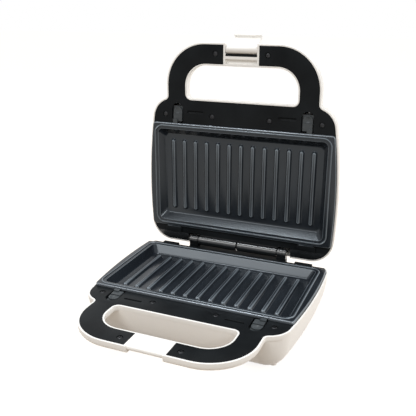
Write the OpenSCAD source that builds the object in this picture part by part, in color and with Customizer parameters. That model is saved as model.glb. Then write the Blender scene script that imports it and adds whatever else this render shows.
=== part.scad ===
// Sandwich toaster: two hinged halves with lift-out ribbed plates, a latch and an open handle.
// Each half is modelled lying under the parting plane, z = 0, with the plate's centre at x = y = 0.
// The lid is the same half mirrored up and turned open about the hinge.

/* [Plates] */
// Width of a cooking plate over its bowed sides
plate_w = 246.6; // [244:0.1:246.8]
// Length of a cooking plate, front to back
plate_l = 139.4; // [137:0.1:140]
// Width of the cavity's mouth
cavity_w = 221; // [217:0.5:222]
// Length of the cavity's mouth, front to back
cavity_l = 123; // [120:0.5:124]
// Height of the plate's rim over the black deck
rim_h = 4.5; // [4.3:0.1:4.8]
// Depth of the cooking floor under the rim
cavity_d = 11.3; // [10.5:0.1:12]
// Thickness of the casting
plate_t = 3; // [2.5:0.1:3.2]
// Distance from rib to rib
rib_pitch = 15.5; // [14:0.1:15.8]
// Number of ribs
rib_count = 13; // [9:2:13]
// Length of a rib
rib_l = 95; // [80:1:98]
// Radius of a rib's round back
rib_r = 3.5; // [3:0.1:4]

/* [Body] */
// Width over the bowed sides
body_w = 251; // [251:0.5:254]
// Distance from the plate's centre to the front wall
body_front = 100; // [99.5:0.1:101]
// Distance from the plate's centre to the rear wall
body_rear = 93.5; // [93:0.1:94]
// Radius of the two shoulders beside the handle
shoulder_r = 27; // [25:1:29]
// Radius of the two rear corners
rear_r = 29; // [27:1:31]
// Radius of the bow of the sides, seen from above
bow_r = 690; // [650:10:900]
// Depth of the base shell under the parting plane
base_d = 50; // [48:0.5:54]
// Height of the lid shell over the parting plane
lid_d = 42.5; // [41:0.5:46]
// Wall of the white shells
wall = 2.8; // [2.4:0.1:3]
// Width of the white rim around the black deck
rim_w = 1.8; // [1.5:0.1:2]
// Thickness of the black deck
deck_t = 2.5; // [2.4:0.1:2.6]

/* [Handle] */
// Width of the handle
handle_w = 196.6; // [194:0.1:198]
// Distance from the plate's centre to the handle's front edge
handle_front = 168.3; // [167:0.1:169]
// Radius of the handle's front corners
handle_r = 52; // [45:1:55]
// Radius in the corner between handle and shoulder
root_r = 5; // [3:0.5:9]
// Depth of the lid's handle under the deck
handle_d = 12.5; // [12:0.1:14]
// Depth of the base's handle under the deck
grip_d = 9; // [9:0.1:11]
// Width of the hand opening
hole_w = 142.4; // [136:0.1:144]
// Length of the hand opening, front to back
hole_l = 41.6; // [38:0.1:42]
// Radius of the opening's front corners
hole_r = 26; // [16:1:30]

/* [Hinge] */
// Distance from the plate's centre back to the hinge axis
hinge_y = 88; // [87.5:0.1:88.5]
// Height of the hinge axis over the parting plane
hinge_z = 3.4; // [3.2:0.1:3.6]
// Radius of the knuckles
knuckle_r = 6.3; // [6:0.1:6.5]
// Radius of a hinge pin
pin_r = 2; // [1.8:0.05:2.2]
// Angle at which the open lid stands
lid_open = 90; // [80:1:95]

/* [Latch] */
// Width of the white latch block
block_w = 44.8; // [44:0.1:46]
// Radius of the lever's barrel
barrel_r = 5.6; // [5.2:0.1:5.8]
// Swing of the lever from its stop to the latched position
lever_swing = 125; // [120:1:130]
// Width of the lever's arm
arm_w = 34; // [28:1:36]

/* [Clips and screws] */
// Distance of a plate clip from the middle
clip_x = 84; // [83:0.5:85]
// Width of a plate clip
clip_w = 12.8; // [12:0.1:13.4]
// Travel of a plate clip
clip_travel = 4; // [3:0.1:4.2]
// Radius of a deck screw's head
head_r = 3; // [2.6:0.1:3.2]

/* [Feet] */
// Radius of a rubber foot
foot_r = 8; // [7:0.5:9]
// Height of a rubber foot
foot_h = 5; // [4:0.5:7]

/* [Hidden] */
$fn = 48;
eps = 0.01;

// Heights in a half
deck_z = -rim_h;
ledge_z = deck_z - deck_t;
handle_z = deck_z - handle_d;
grip_z = deck_z - grip_d;
floor_t = 2.4;
lens_proud = 1;
parting_z = base_d + foot_h;
front_y = -handle_front;
back_y = hinge_y + lid_d + lens_proud - hinge_z;
shift_y = -(front_y + back_y) / 2;

// Outline centres: shoulder and rear corners run smoothly into the bowed sides
bow_y = 20;
bow_x = body_w / 2 - bow_r;
shoulder_y = -body_front + shoulder_r;
shoulder_x = bow_x + sqrt(pow(bow_r - shoulder_r, 2) - pow(shoulder_y - bow_y, 2));
rear_y = body_rear - rear_r;
rear_x = bow_x + sqrt(pow(bow_r - rear_r, 2) - pow(rear_y - bow_y, 2));
root_x = handle_w / 2 + root_r;
root_y = shoulder_y - sqrt(pow(shoulder_r + root_r, 2) - pow(root_x - shoulder_x, 2));
arc_steps = 10;

// Depth and inset of each level of the shells, from the rim to the flat of the bottom
base_levels = [[4.5, 0], [20, 1.5], [34, 4.5], [42, 9], [47, 15], [base_d - 0.8, 20], [base_d, 26]];
lid_levels = [[4.5, 0], [18, 1], [30, 4], [37, 9], [lid_d - 1.5, 18], [lid_d - 0.3, 30], [lid_d, 40]];

// Plate section
plate_y = 1.6;
plate_front_y = plate_y - plate_l / 2;
plate_back_y = plate_y + plate_l / 2;
flange_bow = bow_r - (body_w - plate_w) / 2;
flange_r = [4, 3];
wall_run = [5.8, 7.4];
bead = [3.4, 5.6];
skirt = 2.5;
flange_z = -1.2;
bead_z = -0.25;
tongue = [18, 4.5, 2.1];
tongue_x = 91;

// Deck details
screw_spots = [[101.2, -78.8], [37.2, -78.9], [33, -155.5]];
slot_spots = [59.5, -83.3];
slot_size = [22, 2.4];
vent_size = [26, 3];
screw_l = 8;
grip_screw_l = grip_d - 4.6;
step_y = 78.5;
drop_y = 81;
drop_z = -10;
catch_size = [22, 7];
catch_y = plate_back_y + 1.7;
pan_spots = [[60, -71], [60, 74]];
shank_r = 1.5;
boss_r = 4;

// Clip and spring
clip_z = -4.2;
clip_front = -88.6;
clip_back = -70.4;
claw_x = [-0.2, 6.2];
claw_z = [-4.3, -2.8];
slot_clear = 1.35;
spring_z = -12.8;
spring_r = 2.1;
spring_wire = 0.35;
spring_front = -94.2;
spring_back = -84.3;
spring_turns = 6;

// Hinge stretches along x
centre_gap = 0.7;
knuckle_end = 53.9;
end_start = 54.5;
end_stop = 66.5;
pin_start = 6;
bore_clear = 0.05;

// Latch
latch_y = -161.2;
latch_z = -10;
latch_pin_r = 1.5;
pocket_back = -153.2;
pocket_edge = -163.2;
pocket_z = -16.1;
bar_back = -150;
recess_back = -144.2;
recess_z = -8.5;
post_x = 20;
post_w = 3;
detent_front = -155.2;
arm_lean = 25;
arm_l = 26;
arm_root = 3;
arm_out = -0.9;
arm_in = 1.9;
step_l = 8.8;
step_in = 1.1;
hook_back = -3.6;
hook_z = [-24.6, -21.6];
nose_r = 3;
nose_y = -163.5;
ledge_d = rim_h + 2 * nose_r;
notch_back = -150;

// Heater, pan, cord
pan = [226, 126, 15];
pan_top = -13;
pan_t = 0.8;
heater_r = 3.25;
heater_z = -18.2;
heater_x = 80;
heater_y = [30, -32];
heater_bend = 10;
heater_out = 24;
blade = [6, 8, 0.8];
blade_y = 76;
gland_x = 92;
gland_z = -22;
gland_y = [80, 96];
gland_r = 3.7;
clamp_y = [68, 76];
clamp_z = -32;
clamp_mid = (clamp_y[0] + clamp_y[1]) / 2;
clamp_x = 14;
clamp_screw_x = 10;
wire_r = 1.2;
terminal_x = [46, 55, 64];
terminal_top = -36;

foot_spots = [[84, -64], [84, 64]];
stem_r = 3;
lens_spots = [12, -58];

white = "#f2ede4";
black = "#1c1e20";
coated = "#343a42";
steel = "#b9bcc0";
grey = "#55595e";
rubber = "#2a2a2a";

// ---------------------------------------------------------------- shapes

// Points on an arc around a centre
function arc(c, r, a0, a1, n = arc_steps) =
    [for (k = [0 : n]) c + r * [cos(a0 + (a1 - a0) * k / n), sin(a0 + (a1 - a0) * k / n)]];

// A right half of an outline, closed by its mirror image
function both_sides(half) =
    concat(half, [for (k = [len(half) - 1 : -1 : 0]) [-half[k][0], half[k][1]]]);

// Angle of the direction from point a to point b
function heading(a, b) = atan2(b[1] - a[1], b[0] - a[0]);

// Side and rear of the body, from the shoulder on, with everything moved in by inset
function side_points(inset) = concat(
    arc([bow_x, bow_y], bow_r - inset, heading([bow_x, bow_y], [shoulder_x, shoulder_y]),
        heading([bow_x, bow_y], [rear_x, rear_y]), 12),
    arc([rear_x, rear_y], rear_r - inset, heading([bow_x, bow_y], [rear_x, rear_y]), 90));

// Outline of the body without its handle
function body_points(inset) = both_sides(concat(
    arc([shoulder_x, shoulder_y], shoulder_r - inset, -90, heading([bow_x, bow_y], [shoulder_x, shoulder_y])),
    side_points(inset)));

// Outline of the body with its handle
function whole_points(inset) = both_sides(concat(
    arc([handle_w / 2 - handle_r, handle_r - handle_front], handle_r - inset, -90, 0, 16),
    arc([root_x, root_y], root_r + inset, 180, heading([root_x, root_y], [shoulder_x, shoulder_y]), 6),
    arc([shoulder_x, shoulder_y], shoulder_r - inset,
        heading([shoulder_x, shoulder_y], [root_x, root_y]),
        heading([bow_x, bow_y], [shoulder_x, shoulder_y])),
    side_points(inset)));

// Outline of the hand opening, grown by grow
function hole_points(grow) = both_sides(concat(
    arc([hole_w / 2 - hole_r, hole_r - body_front - hole_l], hole_r + grow, -90, 0),
    arc([hole_w / 2 - 6, -body_front - 6], 6 + grow, 0, 90, 6)));

module body2d(inset) polygon(body_points(inset));

module whole2d(inset) difference() {
    polygon(whole_points(inset));
    polygon(hole_points(inset));
}

// Rectangle with round corners around the origin
module rounded2d(w, l, r) {
    square([w - 2 * r, l], center = true);
    square([w, l - 2 * r], center = true);
    for (x = [-1, 1], y = [-1, 1]) translate([x * (w / 2 - r), y * (l / 2 - r)]) circle(r);
}

module slab(z0, z1) translate([0, 0, z0]) linear_extrude(z1 - z0) children();

module block(x, y, z) translate([x[0], y[0], z[0]]) cube([x[1] - x[0], y[1] - y[0], z[1] - z[0]]);

module left_right() {
    children();
    mirror([1, 0, 0]) children();
}

module rod_x(x0, x1, y, z, r) translate([x0, y, z]) rotate([0, 90, 0]) cylinder(h = x1 - x0, r = r);

module rod_y(x, y0, y1, z, r) translate([x, y0, z]) rotate([-90, 0, 0]) cylinder(h = y1 - y0, r = r);

// A soft-bottomed tub through the given levels, moved in and up by inset
module tub(levels, inset) hull() for (level = levels)
    slab(min(-level[0] + inset, deck_z), min(-level[0] + inset, deck_z) + eps) body2d(level[1] + inset);

// ---------------------------------------------------------------- places

module in_base() translate([0, shift_y, parting_z]) children();

module turn_lid() translate([0, hinge_y, hinge_z]) rotate([-lid_open, 0, 0])
    translate([0, -hinge_y, -hinge_z]) children();

module in_lid() in_base() turn_lid() mirror([0, 0, 1]) children();

// ---------------------------------------------------------------- shells

// Whether a deck screw sits in the handle's bar
function in_bar(spot) = spot[1] < -body_front;

// White shell of a half: tub and handle channel down to bottom, with a seat for the deck
module shell(levels, bottom, bar_screw) {
    difference() {
        union() {
            tub(levels, 0);
            intersection() {
                slab(bottom, deck_z) whole2d(0);
                block([-body_w, body_w], [-200, 1 - body_front], [-60, 0]);
            }
        }
        tub(levels, wall);
        intersection() {
            slab(bottom + floor_t, 1) whole2d(wall);
            block([-body_w, body_w], [-200, -body_front], [-60, 2]);
        }
        slab(ledge_z, 1) whole2d(rim_w);
    }
    for (spot = screw_spots) left_right() boss(spot,
        in_bar(spot) ? bottom + 1 : 3 - levels[len(levels) - 1][0], in_bar(spot) ? bar_screw : screw_l);
}

// Boss from bottom up to the deck for a deck screw of the given length
module boss(spot, bottom, length) translate([spot[0], spot[1], 0]) difference() {
    slab(bottom, ledge_z) circle(boss_r);
    slab(ledge_z - length + 0.2, 0) circle(shank_r + bore_clear);
}

module base_shell() color(white) in_base() {
    difference() {
        union() {
            shell(base_levels, grip_z, grip_screw_l);
            latch_block(grip_z);
            clamp_bosses();
        }
        // lowered rear edge and its seat
        block([-body_w, body_w], [drop_y, 200], [drop_z, 1]);
        rear_slab(drop_z - deck_t, 1, step_y - 0.2, rim_w);
        // finger notch in front of and under the catch
        block([-post_x, post_x], [-200, nose_y], [-60, 1]);
        block([-post_x, post_x], [-200, notch_back], [-60, -ledge_d]);
        for (spot = foot_spots) left_right()
            translate([spot[0], spot[1], -base_d - 1]) cylinder(h = 6, r = stem_r + 0.1);
        rod_y(gland_x, 80, 110, gland_z, 6.5);
        for (x = [-clamp_screw_x, clamp_screw_x]) translate([gland_x + x, clamp_mid, clamp_z - 8])
            cylinder(h = 9, r = shank_r + bore_clear);
        for (k = [-3 : 3], y = [-28, 28]) translate([14 * k, y, -base_d - 1])
            linear_extrude(6) rounded2d(vent_size[1], vent_size[0], vent_size[1] / 2 - eps);
    }
    // rounded nose of the catch
    rod_x(-post_x, post_x, nose_y, deck_z - nose_r, nose_r);
}

// Slab of the body's outline behind y0
module rear_slab(z0, z1, y0, inset) intersection() {
    slab(z0, z1) whole2d(inset);
    block([-body_w, body_w], [y0, 200], [-60, 2]);
}

// Two bosses in the rear corner that carry the cord clamp
module clamp_bosses() intersection() {
    for (x = [-clamp_screw_x, clamp_screw_x]) translate([gland_x + x, clamp_mid, -base_d])
        cylinder(h = base_d + clamp_z, r = 3.6);
    tub(base_levels, 1);
}

// White block through the handle bar, between the ends of the black deck
module latch_block(bottom) {
    intersection() {
        slab(bottom, deck_z) whole2d(0);
        block([-block_w / 2, block_w / 2], [-200, -120], [-60, 0]);
    }
    intersection() {
        slab(bottom, ledge_z) whole2d(0);
        block([-block_w / 2 - post_w, block_w / 2 + post_w], [-200, -120], [-60, 0]);
    }
}

module lid_shell() color(white) in_lid() difference() {
    union() {
        shell(lid_levels, handle_z, screw_l);
        latch_block(handle_z);
    }
    block([-post_x, post_x], [-200, pocket_edge], [-60, 2]);
    block([-post_x, post_x], [-200, pocket_back], [pocket_z, 2]);
    block([-post_x, post_x], [bar_back, recess_back], [recess_z, 2]);
    rod_x(-27, 27, latch_y, latch_z, latch_pin_r + bore_clear);
    left_right() hinge_pocket();
    rod_x(-knuckle_end - 1, knuckle_end + 1, hinge_y, -hinge_z, knuckle_r + 0.1);
    left_right() translate([lens_spots[0], lens_spots[1], -lid_d - 1]) cylinder(h = 6, r = 3.6);
}

// Room in the lid for an end knuckle of the base
module hinge_pocket() rod_x(knuckle_end, end_stop + 4, hinge_y, -hinge_z, knuckle_r + 1.3);

// ---------------------------------------------------------------- decks

// Black cover of a half, with the rear catches for the plate
module deck() {
    difference() {
        slab(ledge_z, deck_z) whole2d(rim_w + 0.15);
        slab(ledge_z - 1, 0) plate2d(skirt + 1.2, 9);
        block([-block_w / 2 - 0.15, block_w / 2 + 0.15], [-200, -120], [-60, 0]);
        left_right() {
            // slide of the plate clip
            slab(-60, 0) translate([clip_x, 0]) {
                translate([0, clip_front + clip_w / 2 - clip_travel + 0.3]) circle(clip_w / 2 + slot_clear);
                translate([-clip_w / 2 - slot_clear, clip_front + clip_w / 2 - clip_travel])
                    square([clip_w + 2 * slot_clear, 28]);
            }
            // moulded slot
            slab(deck_z - 1.4, 0) translate(slot_spots)
                rounded2d(slot_size[0], slot_size[1], slot_size[1] / 2 - eps);
            for (spot = screw_spots) translate([spot[0], spot[1], 0]) {
                slab(deck_z - 1.6, 0) circle(head_r + 0.3);
                slab(-60, 0) circle(shank_r + 0.1);
            }
        }
    }
    left_right() {
        // rear catch over the plate's tongue
        translate([tongue_x - catch_size[0] / 2, catch_y, 0]) difference() {
            block([0, catch_size[0]], [0, catch_size[1]], [deck_z - eps, -1.2]);
            block([1.5, catch_size[0] - 1.5], [-1, 3.4], [deck_z - 1, deck_z + tongue[2] + 0.3]);
        }
        // rails and spring stop of the clip
        translate([clip_x, 0, ledge_z]) {
            left_right() block([10.3, 11.6], [-90, -70], [-4.6, eps]);
            block([-5, 5], [-95.7, -94.5], [-8, eps]);
        }
        for (spot = pan_spots) translate([spot[0], spot[1], pan_top]) difference() {
            cylinder(h = ledge_z - pan_top + eps, r = 3.5);
            translate([0, 0, -1]) cylinder(h = ledge_z - pan_top, r = 1.3);
        }
    }
}

module base_deck() color(black) in_base() {
    difference() {
        deck();
        block([-body_w, body_w], [drop_y, 200], [-60, 1]);
    }
    // lowered rear strip, the step down to it and the land under the hinge
    rear_slab(drop_z - deck_t, drop_z, step_y, rim_w + 0.15);
    difference() {
        rear_slab(drop_z - eps, ledge_z + eps, step_y, rim_w + 0.15);
        block([-body_w, body_w], [drop_y, 200], [-60, 1]);
    }
    block([-end_stop, end_stop], [drop_y - eps, hinge_y + 3.5], [drop_z - eps, deck_z]);
    left_right() difference() {
        union() {
            rod_x(end_start, end_stop, hinge_y, hinge_z, knuckle_r - 0.4);
            for (x = [end_start + 1, end_start + 4.8, end_start + 8.6])
                rod_x(x, x + 2.4, hinge_y, hinge_z, knuckle_r);
            block([end_start, end_stop], [hinge_y - 5.2, hinge_y + 3.5], [deck_z - eps, hinge_z]);
        }
        rod_x(end_start - 1, end_stop + 1, hinge_y, hinge_z, pin_r + bore_clear);
    }
}

module lid_deck() color(black) in_lid() difference() {
    union() {
        difference() {
            deck();
            left_right() hinge_pocket();
        }
        left_right() rod_x(centre_gap, knuckle_end, hinge_y, -hinge_z, knuckle_r);
    }
    left_right() rod_x(pin_start - 1, knuckle_end + 1, hinge_y, -hinge_z, pin_r + bore_clear);
}

// ---------------------------------------------------------------- plates

module plate() color(coated) {
    difference() {
        union() {
            slab(deck_z, flange_z) flange2d();
            slab(flange_z - eps, bead_z) difference() {
                plate2d(bead[1], 9);
                plate2d(bead[0], 7);
            }
            hull() {
                slab(deck_z - eps, deck_z) plate2d(skirt, 8);
                slab(-cavity_d - plate_t, eps - cavity_d - plate_t) floor2d(skirt, 9);
            }
        }
        hull() {
            slab(0, eps) plate2d(0, 6);
            slab(-cavity_d, eps - cavity_d) floor2d(0, 5);
        }
        // pocket for the clip's tongue
        left_right() translate([clip_x, plate_front_y, deck_z])
            block([claw_x[0] - 0.8, claw_x[1] + 0.8], [-1, 2.8], [-1, 2.2]);
    }
    for (k = [0 : rib_count - 1])
        translate([(k - (rib_count - 1) / 2) * rib_pitch, plate_y, -cavity_d - 0.5]) rib();
    left_right() block([tongue_x - tongue[0] / 2, tongue_x + tongue[0] / 2],
        [plate_back_y - 1, plate_back_y + tongue[1]], [deck_z, deck_z + tongue[2]]);
}

// Centre of a corner of the flange at depth y, with radius r
function flange_corner(y, r) = [bow_x + sqrt(pow(flange_bow - r, 2) - pow(y - bow_y, 2)), y];

// Flange of the plate: its sides run along the bowed sides of the body
module flange2d() {
    bow = [bow_x, bow_y];
    front = flange_corner(plate_front_y + flange_r[0], flange_r[0]);
    rear = flange_corner(plate_back_y - flange_r[1], flange_r[1]);
    polygon(both_sides(concat(
        arc(front, flange_r[0], -90, heading(bow, front), 6),
        arc(bow, flange_bow, heading(bow, front), heading(bow, rear), 12),
        arc(rear, flange_r[1], heading(bow, rear), 90, 6))));
}

// Outline of the cavity's mouth, grown by grow
module plate2d(grow, r) translate([0, plate_y]) rounded2d(cavity_w + 2 * grow, cavity_l + 2 * grow, r, $fn = 32);

// Outline of the cavity's floor, grown by grow
module floor2d(grow, r) translate([0, plate_y])
    rounded2d(cavity_w + 2 * (grow - wall_run[0]), cavity_l + 2 * (grow - wall_run[1]), r, $fn = 32);

// Half-buried bar with round ends
module rib() intersection() {
    union() {
        rod_y(0, rib_r - rib_l / 2, rib_l / 2 - rib_r, 0, rib_r);
        for (y = [-1, 1]) translate([0, y * (rib_l / 2 - rib_r), 0]) sphere(rib_r);
    }
    block([-rib_r, rib_r], [-rib_l / 2, rib_l / 2], [-0.5, rib_r]);
}

module base_plate() in_base() plate();
module lid_plate() in_lid() plate();

// ---------------------------------------------------------------- plate clips

// Thumb slide, its guide plate under the deck and the tongue in the pocket of the plate's flange
module clip() color(grey) translate([clip_x, 0, 0]) {
    slab(ledge_z - 0.5, clip_z) {
        translate([0, clip_front + clip_w / 2]) circle(clip_w / 2);
        translate([-clip_w / 2, clip_front + clip_w / 2])
            square([clip_w, clip_back - clip_front - clip_w / 2]);
    }
    block([-9.6, 9.6], [-89.8, -70.2], [ledge_z - 2.9, ledge_z - 0.3]);
    block([-4.5, 4.5], [-84.1, -82], [-16, ledge_z - 2.5]);
    block(claw_x, [clip_back - 3, clip_back + eps], [clip_z - 1, claw_z[1]]);
    block(claw_x, [clip_back, plate_front_y + 2.2], claw_z);
}

module base_clip_right() in_base() clip();
module base_clip_left() in_base() mirror([1, 0, 0]) clip();
module lid_clip_right() in_lid() clip();
module lid_clip_left() in_lid() mirror([1, 0, 0]) clip();

// Compression spring: a round wire swept along a helix between the deck's stop and the clip
function coil_centre(t) = [clip_x + spring_r * cos(360 * spring_turns * t),
    spring_front + spring_wire + (spring_back - spring_front - 2 * spring_wire) * t,
    spring_z + spring_r * sin(360 * spring_turns * t)];

module coil() {
    rings = 12 * spring_turns;
    rings_solid([for (k = [0 : rings]) let (a = 360 * spring_turns * k / rings)
        [for (s = [0 : 5]) coil_centre(k / rings)
            + spring_wire * [cos(60 * s) * cos(a), sin(60 * s), cos(60 * s) * sin(a)]]]);
}

module base_spring_right() color(steel) in_base() coil();
module base_spring_left() color(steel) in_base() mirror([1, 0, 0]) coil();
module lid_spring_right() color(steel) in_lid() coil();
module lid_spring_left() color(steel) in_lid() mirror([1, 0, 0]) coil();

// ---------------------------------------------------------------- fasteners, feet, pins

// Pan-head screw with a cross recess, its head's top at the origin
module screw(head, shank, head_h, length) {
    difference() {
        translate([0, 0, -head_h]) cylinder(h = head_h, r = head);
        for (a = [0, 90]) rotate(a) block([-0.6 * head, 0.6 * head], [-0.4, 0.4], [-0.8, 1]);
    }
    translate([0, 0, -head_h - length]) cylinder(h = length + eps, r = shank);
}

module deck_screws(bar_screw) color(steel) for (spot = screw_spots) left_right()
    translate([spot[0], spot[1], deck_z - 0.2])
        screw(head_r, shank_r, 1.4, in_bar(spot) ? bar_screw : screw_l);

module reflector_screws() color(steel) for (spot = pan_spots) left_right()
    translate([spot[0], spot[1], pan_top - pan_t]) mirror([0, 0, 1]) translate([0, 0, 1.6])
        screw(2.8, 1.2, 1.6, 5);

module base_screws() in_base() deck_screws(grip_screw_l);
module lid_screws() in_lid() deck_screws(screw_l);
module base_reflector_screws() in_base() reflector_screws();
module lid_reflector_screws() in_lid() reflector_screws();

module feet() color(rubber) in_base() for (spot = foot_spots) left_right()
    translate([spot[0], spot[1], -base_d - foot_h]) {
        cylinder(h = foot_h, r1 = foot_r - 0.8, r2 = foot_r);
        cylinder(h = foot_h + 3.5, r = stem_r);
    }

module hinge_pins() color(steel) in_base() left_right() {
    rod_x(pin_start, end_stop + 0.3, hinge_y, hinge_z, pin_r);
    rod_x(end_stop + 0.2, end_stop + 1, hinge_y, hinge_z, pin_r + 0.6);
}

// ---------------------------------------------------------------- heating

module reflector() color(steel) difference() {
    union() {
        difference() {
            slab(pan_top - pan[2], pan_top) rounded2d(pan[0], pan[1], 8);
            slab(pan_top - pan[2] + pan_t, 1) rounded2d(pan[0] - 2 * pan_t, pan[1] - 2 * pan_t, 7.2);
        }
        slab(pan_top - pan_t, pan_top) difference() {
            union() {
                rounded2d(pan[0] + 6, pan[1] + 6, 8);
                for (spot = pan_spots) left_right() hull() {
                    translate(spot) circle(4.5, $fn = 32);
                    translate([spot[0], spot[1] * 0.8]) circle(4.5, $fn = 32);
                }
            }
            rounded2d(pan[0] - 2 * pan_t, pan[1] - 2 * pan_t, 7.2);
            for (spot = pan_spots) left_right() translate(spot) circle(1.5);
        }
    }
    left_right() rod_y(heater_out, pan[1] / 2 - 3, pan[1] / 2 + 3, heater_z, heater_r + 1);
}

module base_reflector() in_base() reflector();
module lid_reflector() in_lid() reflector();

// Quarter bend of the heater tube around a centre, from a start angle
module bend(x, y, start) translate([x, y, heater_z]) rotate(start)
    rotate_extrude(angle = 90) translate([heater_bend, 0]) circle(heater_r);

module heater() color("#6b6f73") {
    left_right() {
        rod_y(heater_out, heater_y[0] + heater_bend, 70, heater_z, heater_r);
        bend(heater_out + heater_bend, heater_y[0] + heater_bend, 180);
        rod_x(heater_out + heater_bend, heater_x - heater_bend, heater_y[0], heater_z, heater_r);
        bend(heater_x - heater_bend, heater_y[0] - heater_bend, 0);
        rod_y(heater_x, heater_y[1] + heater_bend, heater_y[0] - heater_bend, heater_z, heater_r);
        bend(heater_x - heater_bend, heater_y[1] + heater_bend, -90);
        // terminal blade
        block([heater_out - blade[0] / 2, heater_out + blade[0] / 2], [blade_y, blade_y + blade[1]],
            [heater_z - blade[2] / 2, heater_z + blade[2] / 2]);
        rod_y(heater_out, 70 - eps, 77, heater_z, 1.4);
    }
    rod_x(heater_bend - heater_x, heater_x - heater_bend, heater_y[1], heater_z, heater_r);
}

module heater_insulators() color("#e8e4d8") left_right() difference() {
    rod_y(heater_out, 70, 75.5, heater_z, 4.6);
    rod_y(heater_out, 69, 76, heater_z, 1.5);
}

module heater_saddles() color(steel) for (spot = [[0, heater_y[1]], [52, heater_y[0]], [-52, heater_y[0]]])
    translate([spot[0], spot[1], 0]) difference() {
        block([-5, 5], [-7, 7], [pan_top - pan[2] + pan_t, heater_z]);
        rod_x(-6, 6, 0, heater_z, heater_r + 0.05);
    }

module base_heater() in_base() heater();
module lid_heater() in_lid() heater();
module base_heater_insulators() in_base() heater_insulators();
module lid_heater_insulators() in_lid() heater_insulators();
module base_heater_saddles() in_base() heater_saddles();
module lid_heater_saddles() in_lid() heater_saddles();

module thermostat() color("#d8d2c4") in_base() {
    slab(-22, -15.3) circle(8.5);
    slab(pan_top - pan[2] + pan_t, -22) circle(4);
    for (side = [-1, 1]) block([side * 10.5 - 2.5, side * 10.5 + 2.5], [-3, 3], [-22, -21]);
}

module thermal_fuse() color("#cfd2d6") in_base() {
    rod_x(30, 46, 0, -24, 2.2);
    rod_x(25, 51, 0, -24, 0.6);
    for (x = [27, 49]) block([x - 1.5, x + 1.5], [-3, 3], [pan_top - pan[2] + pan_t, -24.5]);
}

module terminal_block() color("#e6e2d6") in_base() difference() {
    block([40, 70], [22, 38], [wall - base_d, terminal_top]);
    for (x = terminal_x) {
        rod_y(x, 20, 40, terminal_top - 5, 1.8);
        translate([x, 30, terminal_top - 5]) cylinder(h = 6, r = 1.6);
    }
}

module terminal_screws() color(steel) in_base() for (x = terminal_x)
    translate([x, 30, terminal_top - 3.2]) cylinder(h = 3, r = 1.5);

// ---------------------------------------------------------------- cord entry

module cord_gland() color(rubber) in_base() difference() {
    union() {
        rod_y(gland_x, gland_y[0], gland_y[1], gland_z, 6.4);
        rod_y(gland_x, gland_y[0] + 2, gland_y[0] + 6.6, gland_z, 8);
        rod_y(gland_x, gland_y[1] - 3, gland_y[1], gland_z, 8.5);
    }
    rod_y(gland_x, gland_y[0] - 1, gland_y[1] + 1, gland_z, gland_r);
}

module cord_clamp() color("#3a3c3e") in_base() difference() {
    union() {
        block([gland_x - clamp_x, gland_x + clamp_x], clamp_y, [clamp_z, gland_z - gland_r - 0.3]);
        block([gland_x - clamp_x, gland_x + clamp_x], clamp_y,
            [gland_z + gland_r + 0.3, gland_z + gland_r + 2.8]);
        for (x = [-clamp_x, clamp_x - 1]) block([gland_x + x, gland_x + x + 1], clamp_y,
            [gland_z - gland_r - 0.4, gland_z + gland_r + 0.4]);
    }
    for (x = [-clamp_screw_x, clamp_screw_x]) translate([gland_x + x, clamp_mid, clamp_z - 1])
        cylinder(h = 24, r = shank_r + bore_clear);
}

module cord_clamp_screws() color(steel) in_base() for (x = [-clamp_screw_x, clamp_screw_x])
    translate([gland_x + x, clamp_mid, gland_z + gland_r + 4.4]) screw(2.8, shank_r, 1.6, 20);

// Corner cutting: each corner of a line of points is replaced by two points beside it
function soften(p) = concat([p[0]],
    [for (k = [0 : len(p) - 2], part = [0.25, 0.75]) p[k] + part * (p[k + 1] - p[k])],
    [p[len(p) - 1]]);

// Unit vector
function unit(v) = v / norm(v);

// Ring of a wire: points around p, square to the tangent t
function wire_ring(p, t, r, sides) =
    let (u = unit(cross(t, [0.36, 0.48, 0.8])), v = cross(unit(t), u))
        [for (s = [0 : sides - 1]) p + r * (cos(360 * s / sides) * u + sin(360 * s / sides) * v)];

// Closed skin over a row of rings with the given number of sides
module rings_solid(rings) {
    sides = len(rings[0]);
    last = len(rings) - 1;
    faces = concat([[for (s = [0 : sides - 1]) s]],
        [for (k = [0 : last - 1], s = [0 : sides - 1]) let (n = (s + 1) % sides)
            [k * sides + s, (k + 1) * sides + s, (k + 1) * sides + n, k * sides + n]],
        [[for (s = [sides - 1 : -1 : 0]) last * sides + s]]);
    polyhedron([for (ring = rings, p = ring) p], faces, convexity = 6);
}

// Wire along a line of points, with its bends rounded
module wire(route) {
    p = soften(soften(route));
    last = len(p) - 1;
    rings_solid([for (k = [0 : last])
        wire_ring(p[k], p[min(k + 1, last)] - p[max(k - 1, 0)], wire_r, 8)]);
}

module base_wiring() color("#e9e4da") in_base() {
    wire(concat(blade_start(1), [[28, 82, -30], [42, 62, -41], [46, 52, -41], [46, 38.2, -41]]));
    wire(concat(blade_start(-1), [[-18, 82, -30], [30, 68, -38], [64, 56, -41], [64, 38.2, -41]]));
}

module lid_wiring() color("#e9e4da") in_lid() for (side = [-1, 1])
    wire(concat(blade_start(side), [for (p = [[24, 84, -30], [24, 40, -33], [17, 0, -33], [15, -53, -33]])
        [side * p[0], p[1], p[2]]]));

// First two points of a lead at a heater blade
function blade_start(side) = [[side * heater_out, blade_y + blade[1] + 0.2, heater_z],
    [side * heater_out, blade_y + 11.6, heater_z - 0.2]];

// ---------------------------------------------------------------- lamps

module indicator_lenses() color("#c8451c") in_lid() left_right()
    translate([lens_spots[0], lens_spots[1], -lid_d - lens_proud]) {
        cylinder(h = 5, r = 3.5);
        translate([0, 0, 4]) cylinder(h = 1.4, r = 5);
    }

module indicator_lamps() color("#f0c8a0") in_lid() left_right()
    translate([lens_spots[0], lens_spots[1], -lid_d + 5]) cylinder(h = 6, r = 2.4);

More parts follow.
